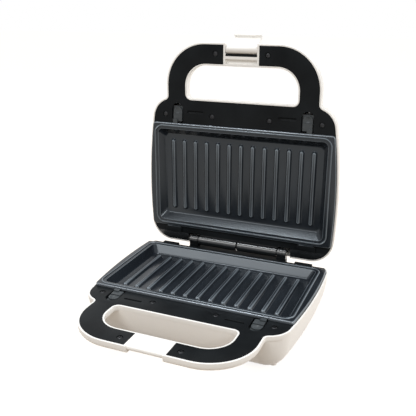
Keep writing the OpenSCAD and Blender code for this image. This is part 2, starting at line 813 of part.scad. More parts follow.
module lamp_board() color("#3f6f4c") in_lid() {
    block([-20, 20], [lens_spots[1] - 5, lens_spots[1] + 4], [-lid_d + 11, -lid_d + 12.6]);
    left_right() block([18, 20], [lens_spots[1] - 4, lens_spots[1] + 4], [wall - lid_d, -lid_d + 11 + eps]);
}

// ---------------------------------------------------------------- latch

module latch_pin() color(steel) in_lid() rod_x(-25, 25, latch_y, latch_z, latch_pin_r);

// Black strip behind the barrel that holds the lever where it is put
module latch_detent() color(black) in_lid()
    block([-post_x + 0.2, post_x - 0.2], [detent_front, pocket_back], [handle_z + 1, deck_z - 1]);

// A point of the arm, given by its offset from the arm's middle line and its distance from the axis
function on_arm(offset, along) = [offset * cos(arm_lean) - along * sin(arm_lean),
    -offset * sin(arm_lean) - along * cos(arm_lean)];

// Lever, drawn latched around its axis and turned back to its stop
module latch_lever() color(white) in_base() turn_lid() translate([0, latch_y, -latch_z])
    rotate([-lever_swing, 0, 0]) difference() {
        union() {
            rod_x(0.5 - post_x, post_x - 0.5, 0, 0, barrel_r);
            // arm with a hook that grips the catch from below
            translate([-arm_w / 2, 0, 0]) rotate([90, 0, 90]) linear_extrude(arm_w) polygon([
                on_arm(arm_out, arm_root), on_arm(arm_out, arm_l),
                [on_arm(arm_out, arm_l)[0], hook_z[0]], [hook_back, hook_z[0]], [hook_back, hook_z[1]],
                on_arm(arm_in, (-hook_z[1] - arm_in * sin(arm_lean)) / cos(arm_lean)),
                on_arm(arm_in, step_l), on_arm(step_in, step_l), on_arm(step_in, arm_root)]);
        }
        rod_x(-post_x, post_x, 0, 0, latch_pin_r + bore_clear);
    }

// ---------------------------------------------------------------- nodes

base_shell();
base_deck();
base_plate();
base_clip_left();
base_clip_right();
base_spring_left();
base_spring_right();
base_screws();
base_reflector();
base_reflector_screws();
base_heater();
base_heater_insulators();
base_heater_saddles();
thermostat();
thermal_fuse();
terminal_block();
terminal_screws();
cord_gland();
cord_clamp();
cord_clamp_screws();
base_wiring();
feet();
hinge_pins();
lid_shell();
lid_deck();
lid_plate();
lid_clip_left();
lid_clip_right();
lid_spring_left();
lid_spring_right();
lid_screws();
lid_reflector();
lid_reflector_screws();
lid_heater();
lid_heater_insulators();
lid_heater_saddles();
lid_wiring();
indicator_lenses();
indicator_lamps();
lamp_board();
latch_pin();
latch_detent();
latch_lever();
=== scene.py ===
from math import acos, atan2, ceil, cos, degrees, pi, radians, sin, sqrt

import bmesh
import bpy
from mathutils import Matrix, Vector


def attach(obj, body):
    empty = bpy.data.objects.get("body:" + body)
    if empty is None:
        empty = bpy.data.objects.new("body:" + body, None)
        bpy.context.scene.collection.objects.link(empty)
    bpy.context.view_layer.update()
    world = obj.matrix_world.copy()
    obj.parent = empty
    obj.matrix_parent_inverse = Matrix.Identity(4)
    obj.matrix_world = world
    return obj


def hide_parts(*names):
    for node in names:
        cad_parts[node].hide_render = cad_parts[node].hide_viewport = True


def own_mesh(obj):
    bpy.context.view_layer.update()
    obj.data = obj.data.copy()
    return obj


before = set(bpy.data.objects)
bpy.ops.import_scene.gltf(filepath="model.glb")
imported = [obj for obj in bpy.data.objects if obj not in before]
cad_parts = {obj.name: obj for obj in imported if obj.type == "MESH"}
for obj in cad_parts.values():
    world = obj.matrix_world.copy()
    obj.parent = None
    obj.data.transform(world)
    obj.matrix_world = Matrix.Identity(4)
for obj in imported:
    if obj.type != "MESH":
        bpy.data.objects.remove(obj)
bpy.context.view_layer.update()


# ---------------------------------------------------------------- table, light and view
# The toaster stands open on a pale table in a white room. A broad soft box hangs in front of it on
# the left; smaller ones hang above it, beside it on the right and behind it.

class Node:
    """An output socket of a material: sums and products add Math nodes, add() any other node."""

    def __init__(self, tree, socket=None):
        self.tree, self.socket = tree, socket

    def add(self, kind, sockets=None, output=0, **settings):
        node = self.tree.nodes.new("ShaderNode" + kind)
        for name, value in settings.items():
            setattr(node, name, value)
        for name, value in (sockets or {}).items():
            if isinstance(value, Node):
                self.tree.links.new(value.socket, node.inputs[name])
            else:
                node.inputs[name].default_value = value
        return Node(self.tree, node.outputs[output] if node.outputs else None)

    def other(self, name):
        return Node(self.tree, self.socket.node.outputs[name])

    def maths(self, operation, *values, **settings):
        return self.add("Math", dict(enumerate(values)), operation=operation, **settings)

    def __add__(self, other):
        return self.maths("ADD", self, other)

    def __sub__(self, other):
        return self.maths("SUBTRACT", self, other)

    def __rsub__(self, other):
        return self.maths("SUBTRACT", other, self)

    def __mul__(self, other):
        return self.maths("MULTIPLY", self, other)

    __radd__ = __add__
    __rmul__ = __mul__


def blank(data):
    """The cleared node tree of a material or of the room."""
    data.use_nodes = True
    data.node_tree.nodes.clear()
    return Node(data.node_tree)


def shown(tree):
    """1 for the rays that show the surroundings: to the camera, in gloss and through clear plastic."""
    rays = tree.add("LightPath")
    return rays.maths("MAXIMUM", rays.maths("MAXIMUM", rays, rays.other("Is Glossy Ray")),
                      rays.other("Is Transmission Ray"))


def tinted(*colour):
    """A colour with an opaque alpha, from its three sRGB values of 0 to 255."""
    return (*[((c / 255 + 0.055) / 1.055) ** 2.4 if c > 10 else c / 3295 for c in colour], 1)


scene = bpy.context.scene
scene.view_settings.view_transform = "Standard"

room = bpy.data.worlds.new("room")
scene.world = room
sky = blank(room)
daylight = sky.add("Background", {"Color": (1, 1, 1, 1), "Strength": 0.5})
backdrop = sky.add("Background", {"Color": (1, 1, 1, 1), "Strength": 1.0})
sky.add("OutputWorld", {"Surface": sky.add("MixShader", {0: shown(sky), 1: daylight, 2: backdrop})})

table = bpy.data.objects.new("table", bpy.data.meshes.new("table"))
scene.collection.objects.link(table)
form = bmesh.new()
bmesh.ops.create_grid(form, x_segments=8, y_segments=8, size=6)
form.to_mesh(table.data)
form.free()
paint = bpy.data.materials.new("table_paint")
table.data.materials.append(paint)
tree = blank(paint)
matt = tree.add("BsdfDiffuse", {"Color": (0.31, 0.245, 0.18, 1)})
glow = tree.add("Emission", {"Color": (1, 1, 1, 1), "Strength": shown(tree) * 0.9})
tree.add("OutputMaterial", {"Surface": tree.add("AddShader", {0: matt, 1: glow})})


toaster_middle = Vector((0, 0, 0.12))


def soft_box(name, place, size, watts, colour=(1, 1, 1)):
    """A rectangular lamp that faces the toaster."""
    lamp = bpy.data.lights.new(name, "AREA")
    lamp.shape, lamp.size, lamp.size_y = "RECTANGLE", *size
    lamp.energy, lamp.color = watts, colour
    holder = bpy.data.objects.new(name, lamp)
    holder.location = place
    holder.rotation_euler = (toaster_middle - Vector(place)).to_track_quat("-Z", "Y").to_euler()
    scene.collection.objects.link(holder)


soft_box("front_box", (-0.68, -1.25, 1.6), (1.2, 0.6), 14.4)
soft_box("top_box", (-0.45, 0.1, 1.6), (0.3, 0.3), 10, (0.93, 0.97, 1))
soft_box("side_box", (1.3, -0.7, 0.95), (0.3, 0.3), 5)
soft_box("back_box", (1.4, 0.6, 0.8), (0.6, 0.6), 8.5)

# The eye is to the right of the handle and looks down on the open plates
lens = bpy.data.cameras.new("camera")
lens.sensor_width = 36
lens.lens = 51.80
view = bpy.data.objects.new("camera", lens)
view.location = (0.24559, -0.57508, 0.36108)
aim = Vector((0.000967, 0.006507, 0.143576))
view.rotation_euler = (aim - view.location).to_track_quat("-Z", "Y").to_euler()
scene.collection.objects.link(view)
scene.camera = view


# ---------------------------------------------------------------- base shell
# The lower half of the case: a soft-bottomed tub that runs out into the hollow handle,
# with the catch in its bar. It is moulded in one piece from glossy white plastic.

# A half is drawn in millimetres under its parting plane, with the origin near the plate's centre.
base_place = Matrix.Translation((0, 0.0201, 0.055)) @ Matrix.Scale(0.001, 4)

# An outline that is moved in by more than the deep inset is shrunk from there on. Arcs are cut into
# chords that stray from them by no more than the gap.
deep_inset, chord_gap = 18, 0.03


def both_sides(half):
    """A closed outline of arcs (x, y, radius, start, stop) from its right half and the mirror image."""
    return half + [(-x, y, r, 180 - stop, 180 - start) for x, y, r, start, stop in reversed(half)]


def moved_in(outline, inset):
    """An outline with everything moved in by inset: hollow arcs, which run clockwise, grow."""
    return [(x, y, r - inset if stop > start else r + inset, start, stop)
            for x, y, r, start, stop in outline]


def trace(outline, inset=0.0):
    """Points along an outline that is moved in by inset."""
    points = []
    for (x, y, r, start, stop), (*_, near, _, _) in zip(outline, moved_in(outline, min(inset, deep_inset))):
        chord = degrees(2 * acos(1 - min(chord_gap / max(r, 0.05), 1)))
        steps = max(2, ceil(abs(stop - start) / chord))
        for k in range(steps + 1):
            a = radians(start + (stop - start) * k / steps)
            points.append((x + near * cos(a), y + near * sin(a)))
    if inset > deep_inset:
        more = inset - deep_inset
        spans = [(min(p[i] for p in points), max(p[i] for p in points)) for i in (0, 1)]
        points = [tuple((low + high) / 2 + (p - (low + high) / 2) * (1 - 2 * more / (high - low))
                        for p, (low, high) in zip(point, spans)) for point in points]
    return points


def rounded(*corners):
    """The outline of a polygon, counter-clockwise, whose corners (x, y, radius) are rounded."""
    outline = []
    for (ax, ay, _), (bx, by, r), (cx, cy, _) in zip(
            corners[-1:] + corners[:-1], corners, corners[1:] + corners[:1]):
        before, after = Vector((ay - by, bx - ax)).normalized(), Vector((by - cy, cx - bx)).normalized()
        turn = before.x * after.y - before.y * after.x
        out = -1 if turn > 0 else 1
        middle = Vector((bx, by)) - out * r * (before + after) / (1 + before.dot(after))
        start = degrees(atan2(out * before.y, out * before.x))
        stop = degrees(atan2(out * after.y, out * after.x))
        while turn > 0 and stop < start:
            stop += 360
        while turn < 0 and stop > start:
            stop -= 360
        outline.append((*middle, r, start, stop))
    return outline


def box_outline(left, right, front, back, r=0.5):
    return rounded((left, front, r), (right, front, r), (right, back, r), (left, back, r))


def edged(low, high, foot=0.3, brow=0.3, steps=4):
    """Levels (height, inset) of a slab whose lower and upper edges are rounded."""
    turns = [pi / 2 * k / steps for k in range(steps + 1)]
    return ([(low + foot * (1 - cos(a)), foot * (1 - sin(a))) for a in turns]
            + [(high - brow * (1 - sin(a)), brow * (1 - cos(a))) for a in turns])


def ring(outline, height, inset=0.0):
    return [(x, y, height) for x, y in trace(outline, inset)]


def stack(outline, levels, side=1):
    """Rings of an outline at its levels; side is -1 for a hole."""
    return [ring(outline, height, side * inset) for height, inset in levels]


# How far points may lie apart to be welded, the shortest edge that is kept, and the unevenness of
# a ring that still counts as flat, all in millimetres
weld, shortest, unevenness = 0.002, 0.001, 1e-6


def flat(points):
    """The axis along which points share one value, and that value, or None."""
    for axis in range(3):
        values = [point[axis] for point in points]
        if max(values) - min(values) < unevenness:
            return axis, values[0]
    return None


def moulded(name, place, *stacks, sheet=()):
    """A closed piece from stacks of rings and a sheet of rows: ends in one plane are filled together."""
    form = bmesh.new()
    ends = [flat(rings[end]) for rings in stacks for end in (0, -1)]
    for rings in stacks:
        rows = [[form.verts.new(point) for point in row] for row in rings]
        for low, high in zip(rows, rows[1:]):
            for a, b, c, d in zip(low, low[1:] + low[:1], high[1:] + high[:1], high):
                form.faces.new((a, b, c, d))
    rows = [[form.verts.new(point) for point in row] for row in sheet]
    for low, high in zip(rows, rows[1:]):
        for a, b, c, d in zip(low, low[1:], high[1:], high):
            form.faces.new((a, b, c, d))
    bmesh.ops.remove_doubles(form, verts=form.verts, dist=weld)
    for axis, height in set(ends) - {None}:
        edges = [edge for edge in form.edges if edge.is_boundary
                 and all(abs(vert.co[axis] - height) < 10 * unevenness for vert in edge.verts)]
        bmesh.ops.triangle_fill(form, use_beauty=True, use_dissolve=False, edges=edges)
    bmesh.ops.dissolve_degenerate(form, dist=shortest, edges=form.edges)
    bmesh.ops.transform(form, matrix=place, verts=form.verts)
    bmesh.ops.recalc_face_normals(form, faces=form.faces)
    piece = bpy.data.objects.new(name, bpy.data.meshes.new(name))
    form.to_mesh(piece.data)
    form.free()
    scene.collection.objects.link(piece)
    return piece


def combined(piece, operation, *others):
    """The piece after a Boolean operation with each of the others, which are used up."""
    for other in others:
        modifier = piece.modifiers.new("cut", "BOOLEAN")
        modifier.operation, modifier.solver, modifier.object = operation, "EXACT", other
        bpy.context.view_layer.update()
        result = piece.evaluated_get(bpy.context.evaluated_depsgraph_get())
        data = bpy.data.meshes.new_from_object(result)
        piece.modifiers.clear()
        piece.data = data
        bpy.data.objects.remove(other)
    return piece


def joined(name, pieces, places=(Matrix(),)):
    """One object from pieces that don't touch, each repeated at every place."""
    form = bmesh.new()
    for piece in pieces:
        for place in places:
            start = len(form.verts)
            form.from_mesh(piece.data)
            form.verts.ensure_lookup_table()
            bmesh.ops.transform(form, matrix=place, verts=form.verts[start:])
        bpy.data.objects.remove(piece)
    bmesh.ops.recalc_face_normals(form, faces=form.faces)
    whole = bpy.data.objects.new(name, bpy.data.meshes.new(name))
    form.to_mesh(whole.data)
    form.free()
    scene.collection.objects.link(whole)
    return whole


def finished(piece, slot, angle=32):
    """Shades a piece smooth, except over edges above the angle, and gives it a slot's material."""
    piece.data.shade_smooth()
    piece.data.set_sharp_from_angle(angle=radians(angle))
    piece.data.materials.clear()
    piece.data.materials.append(bpy.data.materials[slot])
    return piece


def dressed(slot, tones, roughness, sockets=None, clouds=14, grain=1500, depth=0.00002,
            uneven=0.1, stretch=(1, 1, 1), edge=None, polished=None, painted_flange_highlight=None):
    """A slot's material: two tones in soft clouds, an uneven gloss and a fine grain in relief.

    edge is a lighter tone painted on convex edges: a painted highlight. polished is the axis (y, z)
    and reach of a barrel that is rubbed shiny, and bare is (y, z, tone) of a lighter, partly metallic
    painted highlight in front of that y and above that z."""
    tree = blank(bpy.data.materials[slot])
    spot = tree.add("TexCoord", output="Object")
    place = tree.add("VectorMath", {0: spot, 1: stretch}, operation="MULTIPLY")
    soft = tree.add("TexNoise", {"Vector": place, "Scale": clouds, "Detail": 4.0})
    fine = tree.add("TexNoise", {"Vector": place, "Scale": grain, "Detail": 2.0})

    def ramp(value, slope, lift):
        """value * slope + lift, held between 0 and 1."""
        return tree.maths("MULTIPLY_ADD", value, slope, lift, use_clamp=True)

    def blended(share, first, second):
        return tree.add("Mix", {0: share, 6: first, 7: second}, 2, data_type="RGBA")

    colour = blended(ramp(soft, 2.4, -0.7), tinted(*tones[0]), tinted(*tones[1]))
    # Convex edges, where pointiness is high, are tinted lighter: a painted highlight on ribs and rims.
    if edge:
        painted_edge_highlight = ramp(tree.add("NewGeometry", output="Pointiness"), 24, -12.2)
        colour = blended(painted_edge_highlight, colour, tinted(*edge))
    sockets = dict(sockets or {})
    # In front of a y and above a z a lighter tone is painted and made partly metallic: a painted highlight on
    # the flange edges that catch the light, the base plate's front and the lid plate's top.
    if painted_flange_highlight:
        front, top, tone = painted_flange_highlight
        along = tree.add("SeparateXYZ", {0: spot}, "Y")
        painted_highlight_share = tree.maths("MAXIMUM", tree.maths("LESS_THAN", along, front),
                           tree.maths("GREATER_THAN", along.other("Z"), top))
        colour = blended(painted_highlight_share, colour, tinted(*tone))
        sockets["Metallic"] = painted_highlight_share * 0.45
    if polished:
        *axis, reach = polished
        upright = tree.add("VectorMath", {0: spot, 1: (0, 1, 1)}, operation="MULTIPLY")
        away = tree.add("VectorMath", {0: upright, 1: (0, *axis)}, "Value", operation="DISTANCE")
        sockets["Coat Weight"] = ramp(away, -2500, 2500 * reach)
    relief = tree.add("Bump", {"Height": fine, "Distance": depth})
    gloss = (soft + fine - 1) * uneven + roughness
    body = tree.add("BsdfPrincipled", {"Base Color": colour, "Roughness": gloss, "Normal": relief, **sockets})
    tree.add("OutputMaterial", {"Surface": body})


def heading(a, b):
    """Direction from one point to another, in degrees."""
    return degrees(atan2(b[1] - a[1], b[0] - a[0]))


# Half the width of the case and of the handle, the handle's front, and the radii of the outline's
# arcs: the bowed side, the shoulder, the rear corner, the handle's root and its front corner
case_half, handle_half, handle_front = 125.5, 98.3, -168.3
bow_r, shoulder_r, rear_r, root_r, handle_r = 690, 27, 29, 5, 52
# Centres of those arcs
bow = (case_half - bow_r, 20)


def against_bow(y, r, side_r=bow_r):
    """Centre, at y, of a corner of radius r that runs into a side bowed by side_r."""
    return (bow[0] + sqrt((side_r - r) ** 2 - (y - bow[1]) ** 2), y)


shoulder, rear = against_bow(-73, shoulder_r), against_bow(64.5, rear_r)
root_x = handle_half + root_r
root = (root_x, shoulder[1] - sqrt((shoulder_r + root_r) ** 2 - (root_x - shoulder[0]) ** 2))
side_arcs = [(*bow, bow_r, heading(bow, shoulder), heading(bow, rear)),
             (*rear, rear_r, heading(bow, rear), 90)]
handle_arc = (handle_half - handle_r, handle_r + handle_front, handle_r, -90, 0)
root_arc = (*root, root_r, 180, heading(root, shoulder))
shoulder_arc = (*shoulder, shoulder_r, heading(shoulder, root), heading(bow, shoulder))
body_outline = both_sides([(*shoulder, shoulder_r, -90, heading(bow, shoulder)), *side_arcs])
whole_outline = both_sides([handle_arc, root_arc, shoulder_arc, *side_arcs])


def hand_hole(back=-100.0):
    """Outline of the opening for the fingers."""
    half, front, front_r, back_r = 71.2, -141.6, 26, 6
    return both_sides([(half - front_r, front_r + front, front_r, -90, 0),
                       (half - back_r, back - back_r, back_r, 0, 90)])


grip_outline = both_sides([handle_arc, root_arc,
                           (*shoulder, shoulder_r, heading(shoulder, root), -40), (90, -84, 6, -40, 90)])

# Heights of the deck's face, the ledge under it and the base handle's underside; thickness of the
# walls, of the white rim and of the handle's floor
deck_z, ledge_z, grip_z = -4.5, -7, -13.5
wall, rim_w, floor_t = 2.8, 1.8, 2.4
# How far the tub's wall is moved in at each depth
base_levels = [(4.5, 0), (20, 1.5), (34, 4.5), (42, 9), (47, 15), (49.2, 20), (50, 26)]


def eased(levels, steps=4):
    """A smooth row of levels through the given ones."""
    row = []
    for k in range(len(levels) - 1):
        a, b, c, d = (Vector(levels[min(max(k + i, 0), len(levels) - 1)]) for i in (-1, 0, 1, 2))
        for s in range(steps):
            t = s / steps
            row.append(tuple(0.5 * (2 * b + (c - a) * t + (2 * a - 5 * b + 4 * c - d) * t ** 2
                                    + (3 * b - a - 3 * c + d) * t ** 3)))
    return row + [levels[-1]]


def tub(levels, inset=0.0, top=deck_z):
    """Rings of the tub from its rim down, moved in and up by inset, with a soft rim."""
    rows = [(min(inset - depth, top), side + inset) for depth, side in eased(levels)]
    lip = [(top, inset + 0.4), (top - 0.12, inset + 0.12)] if inset == 0 else [(top, rows[0][1])]
    return stack(body_outline, lip + [(top - 0.4, inset)] + rows[1:])


def turned(centre, profile, axis=2, steps=48):
    """Rings of (place, radius) along an axis; centre holds the other two coordinates, the next one first."""
    rings = []
    for place, r in profile:
        turns = [2 * pi * k / steps for k in range(steps)]
        points = [(place, centre[0] + r * cos(a), centre[1] + r * sin(a)) for a in turns]
        rings.append([tuple(point[(i - axis) % 3] for i in range(3)) for point in points])
    return rings


def rod(name, place, centre, radius, half_width):
    """A round bar across the toaster, its centre given as (y, z)."""
    return moulded(name, place, turned(centre, [(-half_width, radius), (half_width, radius)], 0))


def box(name, place, across, along, height, r=0.5):
    """A box between two values on each axis, with upright edges rounded."""
    return moulded(name, place, stack(box_outline(*across, *along, r), [(height[0], 0), (height[1], 0)]))


dressed("white_shell", [(247, 245, 241), (249, 247, 243)], 0.3, {"Specular IOR Level": 0.4},
        clouds=9, grain=2500, depth=0.000004)

screw_spots = [(101.2, -78.8), (37.2, -78.9), (33, -155.5)]
# Reaches right across a half, along its handle's bar, and through its handle in height
whole_width, bar_reach, whole_height = (-140, 140), (-180, -120), (-30, 5)


def boss(place, spot, bottom, top, r, bore, deep=8):
    """A round post with a blind hole for a screw in its end."""
    hole = sorted((top, top - deep if top > bottom else top + deep))
    return moulded("boss", place, turned(spot, [(bottom, r), (top, r)]),
                   turned(spot, [(hole[0], bore), (hole[1], bore)]))


def shell(name, levels, place, low, soft, deep):
    """Tub and hollow handle of a half, with a solid block for the latch in the handle's bar.

    The handle reaches down to low, with its edges rounded by soft and screw holes of the given depth."""
    case = moulded(name, place, tub(levels))
    grip = moulded("grip", place, stack(grip_outline, edged(low, deck_z, soft, 0.4)),
                   stack(hand_hole(-99.7), edged(low, deck_z, soft, 0.4), -1))
    inside = moulded("inside", place, tub(levels, wall, ledge_z + 0.5))
    walls = [(low + floor_t, wall + 0.5), (low + floor_t + 0.8, wall), (-6, wall)]
    channel = moulded("channel", place, stack(grip_outline, walls), stack(hand_hole(), walls, -1))
    ledge = [(ledge_z, rim_w), (2, rim_w)]
    recess = moulded("recess", place, stack(whole_outline, ledge), stack(hand_hole(), ledge, -1))
    combined(channel, "DIFFERENCE", box("block", place, (-25.4, 25.4), bar_reach, whole_height),
             box("keep", place, whole_width, (-99.9, -40), whole_height))
    combined(recess, "DIFFERENCE", box("block", place, (-22.4, 22.4), bar_reach, whole_height))
    posts = []
    for x, y in screw_spots:
        foot, bore = (low + 1, deep) if y < -100 else (3 - levels[-1][0], 8)
        posts += [boss(place, (side * x, y), foot, ledge_z, 4, 1.55, bore) for side in (-1, 1)]
    combined(case, "UNION", grip)
    combined(case, "DIFFERENCE", inside, channel, recess)
    return combined(case, "UNION", joined("bosses", posts))


def behind(name, y, height, inset):
    """The part behind y of a slab with the body's outline, for the lowered rear of the base."""
    slab = moulded(name, base_place, stack(whole_outline, [(low, inset + more) for low, more in height]))
    return combined(slab, "INTERSECT", box("rear", base_place, whole_width, (y, 110), whole_height))


base_shell = shell("base_case", base_levels, base_place, grip_z, 4.6, 4.2)
# The rear edge lies lower than the rest of the rim
drop_z = -10
combined(base_shell, "DIFFERENCE", box("drop", base_place, whole_width, (81, 110), (drop_z, 5)),
         behind("seat", 78.3, [(-12.5, 0), (2, 0)], rim_w))
# The catch: a rounded ledge across a notch that is open to the front and below
notch = (-20, 20)
combined(base_shell, "DIFFERENCE", box("notch", base_place, notch, (-180, -163.5), whole_height),
         box("notch", base_place, notch, (-180, -150), (-30, -10.5)))
combined(base_shell, "UNION", rod("nose", base_place, (-163.5, -7.5), 3, 20.1))
# Vents in the bottom, sockets for the feet and the lead's hole in the rear wall
gland_x, gland_z = 92, -22
foot_spots = [(x, y) for x in (-84, 84) for y in (-64, 64)]
vents = [box("vent", base_place, (14 * k - 1.5, 14 * k + 1.5), (y - 13, y + 13), (-52, -45), 1.45)
         for k in range(-3, 4) for y in (-28, 28)]
sockets = [moulded("socket", base_place, turned(spot, [(-51, 3.1), (-45, 3.1)])) for spot in foot_spots]
lead_hole = moulded("lead_hole", base_place, turned((gland_z, gland_x), [(80, 6.5), (110, 6.5)], 1))
combined(base_shell, "DIFFERENCE", joined("holes", vents + sockets + [lead_hole]))
# Posts for the cord clamp, cut to the inside of the wall
clamp_posts = joined("clamp_posts", [boss(base_place, (gland_x + x, 72), -50, -32, 3.6, 1.55)
                                     for x in (-10, 10)])
combined(clamp_posts, "INTERSECT", moulded("inside", base_place, tub(base_levels, 1)))
combined(base_shell, "UNION", clamp_posts)
finished(base_shell, "white_shell")
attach(base_shell, "base")
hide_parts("base_shell")


# ---------------------------------------------------------------- feet and lead entry
# Four rubber feet with stems pressed into the bottom, and a rubber gland in the rear wall through
# which the flexible lead enters. Both are moulded in black rubber with a powdery bloom.

dressed("black_rubber", [(36, 36, 37), (52, 51, 50)], 0.75, {"Specular IOR Level": 0.3},
        clouds=60, grain=900, depth=0.00005, uneven=0.2)

foot_profile = [(-46.5, 2.6), (-46.9, 3), (-50, 3), (-50, 7.8), (-50.2, 8), (-51.5, 8), (-53.8, 7.5),
                (-54.6, 7.1), (-55, 6.4), (-55, 4.8), (-54.4, 4), (-54.2, 2.5), (-54.2, 0.5)]
feet = joined("rubber_feet", [moulded("foot", base_place, turned(spot, foot_profile)) for spot in foot_spots])
finished(feet, "black_rubber", 40)
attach(feet, "base")
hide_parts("feet")

gland = moulded("flex_gland", base_place, turned((gland_z, gland_x), [
    (80, 6), (80.4, 6.4), (82, 6.4), (82, 7.7), (82.3, 8), (86.3, 8), (86.6, 7.7), (86.6, 6.4), (93, 6.4),
    (93, 8.2), (93.3, 8.5), (94.4, 8.3), (95.6, 7), (96, 5.6)], 1),
    turned((gland_z, gland_x), [(80, 3.7), (96, 3.7)], 1))
finished(gland, "black_rubber", 40)
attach(gland, "base")
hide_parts("cord_gland")


# ---------------------------------------------------------------- heating and wiring
# Each half holds a bent tubular heater in a pan of aluminised sheet, with ceramic beads and
# silicone-sleeved leads; the base also has the thermostat, the fuse and the terminals. The pans are
# pressed, the saddles spot-welded, and all of it lies hidden under the decks as it comes.

dressed("aluminised_sheet", [(176, 178, 180), (206, 207, 208)], 0.38, {"Metallic": 1.0},
        clouds=45, grain=700, depth=0.00001, stretch=(0.2, 3, 1))
dressed("heater_sheath", [(92, 84, 80), (128, 122, 118)], 0.55, {"Metallic": 1.0},
        clouds=80, grain=1200, depth=0.00003)
dressed("ceramic", [(228, 222, 206), (240, 236, 224)], 0.35, clouds=120, grain=1800)
dressed("natural_nylon", [(226, 221, 204), (236, 232, 218)], 0.5, clouds=60, grain=1500)
dressed("zinc_screw", [(178, 180, 184), (212, 213, 214)], 0.3, {"Metallic": 1.0}, clouds=220, grain=2600)
dressed("wire_sleeve", [(222, 216, 202), (238, 234, 224)], 0.6, clouds=150, grain=2400, depth=0.00006)
dressed("circuit_board", [(52, 104, 66), (70, 128, 84)], 0.4, clouds=160, grain=1400)
dressed("clear_lamp", [(240, 214, 190), (250, 232, 214)], 0.12, {"Transmission Weight": 0.8},
        clouds=200, grain=2000, depth=0.000002)
dressed("spring_steel", [(170, 172, 176), (204, 205, 207)], 0.28, {"Metallic": 1.0}, clouds=260, grain=2600)


# ---------------------------------------------------------------- base deck
# The black cover that drops into the white rim and lies round the plate's opening. It carries
# the rear catches and the ribbed end knuckles of the hinge, and is a glass-filled moulding.

# A point on the hinge's axis, in metres. The deck is rubbed shiny round it.
hinge_point = Vector((0, 0.1081, 0.0584))
dressed("black_deck", [(20, 22, 24), (30, 33, 35)], 0.32,
        {"Specular IOR Level": 0.06, "Coat Roughness": 0.22, "Coat IOR": 1.6},
        clouds=30, grain=1700, depth=0.00002, uneven=0.12, polished=(*hinge_point.yz, 0.0072))

# Middle of the plate from front to back, half its mouth, and how far its skirt stands outside that
plate_y, mouth, skirt = 1.6, (110.5, 61.5), 2.5
# Places of the clips, the catches and the thin slots on each side
clip_x, catch_x, slot_x = 84, 91, 59.5
# The hinge's axis in a half, and the radii of its barrel, of the bands' grooves and of its pins
hinge_y, hinge_z, knuckle_r, groove_r, pin_r = 88, 3.4, 6.3, 5.9, 2


def plate_outline(grow, r):
    """Outline of the plate's mouth, grown on every side."""
    return box_outline(-mouth[0] - grow, mouth[0] + grow,
                       plate_y - mouth[1] - grow, plate_y + mouth[1] + grow, r)


def raised(levels, inset):
    """Levels moved in by a further inset."""
    return [(height, side + inset) for height, side in levels]


# Gap between the deck's edge and the white rim, and the height of the plate's flange and catches
rim_gap, flange_top = 0.15, -1.2


def deck(name, place):
    """The cover of a half: its openings, recessed screws and slots, catches and, below, its rails."""
    edges = edged(ledge_z, deck_z, 0.1, 0.3)
    cover = moulded(name, place, stack(whole_outline, raised(edges, rim_w + rim_gap)),
                    stack(hand_hole(), raised(edges, rim_w + rim_gap), -1),
                    stack(plate_outline(skirt + 1.2, 9), edges, -1))
    cuts, holes, added = [box("gap", place, (-22.55, 22.55), bar_reach, whole_height)], [], []
    for side in (-1, 1):
        cuts.append(moulded("slide", place, stack(
            rounded(*[(side * clip_x + x, y, r) for x, y, r in (
                (-7.75, -93.65, 7.7), (7.75, -93.65, 7.7), (7.75, -58, 0.5), (-7.75, -58, 0.5))]),
            [(-20, 0), (5, 0)])))
        cuts.append(moulded("slot", place, stack(
            box_outline(side * slot_x - 11, side * slot_x + 11, -84.7, -81.9, 1.3),
            [(-6.6, 1), (-6.2, 0.3), (-5.5, 0), (-4.8, 0), (-4.5, -0.25), (-4.2, -0.6)])))
        for x, y in screw_spots:
            recess = turned((side * x, y), [(-6.1, 3.3), (-4.7, 3.3), (-4.2, 3.8)])
            cuts.append(moulded("recess", place, recess))
            holes.append(moulded("hole", place, turned((side * x, y), [(-20, 1.6), (-3, 1.6)])))
        catch = moulded("catch", place, stack(
            box_outline(side * catch_x - 11, side * catch_x + 11, 73, 80, 0.6),
            edged(deck_z - 0.5, flange_top, 0, 0.5)))
        added.append(combined(catch, "DIFFERENCE", box(
            "pocket", place, (side * catch_x - 9.5, side * catch_x + 9.5), (70, 76.4), (-5.5, -2.1))))
        added += [box("rail", place, (side * clip_x + x, side * clip_x + x + 1.3), (-90, -70), (-11.6, -6.9))
                  for x in (-11.6, 10.3)]
        added.append(box("stop", place, (side * clip_x - 5, side * clip_x + 5), (-95.7, -94.5),
                         (-15, -6.9), 0.3))
        added += [boss(place, (side * 60, y), -6.9, -13, 3.5, 1.3) for y in (-71, 74)]
    combined(cover, "DIFFERENCE", joined("cuts", cuts), joined("holes", holes))
    return combined(cover, "UNION", joined("added", added))


def knuckle(name, place, profile, z):
    """A barrel of the hinge from its profile of (x, radius), with the bore for the pin."""
    bore = [(x, pin_r + 0.05) for x in (profile[0][0], profile[-1][0])]
    return moulded(name, place, turned((hinge_y, z), profile, 0, 64), turned((hinge_y, z), bore, 0, 64))


base_deck = deck("base_cover", base_place)
# Behind the plate the cover steps down to the lowered rear edge, under a land for the hinge
combined(base_deck, "DIFFERENCE", box("drop", base_place, whole_width, (81, 110), (-20, 5)))
combined(base_deck, "UNION", behind("strip", 78.5, edged(-12.5, drop_z, 0.1, 0.3), rim_w + rim_gap),
         combined(behind("step", 78.6, [(-12.3, 0), (-5, 0)], rim_w + 0.2), "DIFFERENCE",
                  box("drop", base_place, whole_width, (80.95, 110), (-20, 5))),
         box("land", base_place, (-66.5, 66.5), (80.9, 91.5), (drop_z - 0.2, deck_z)))
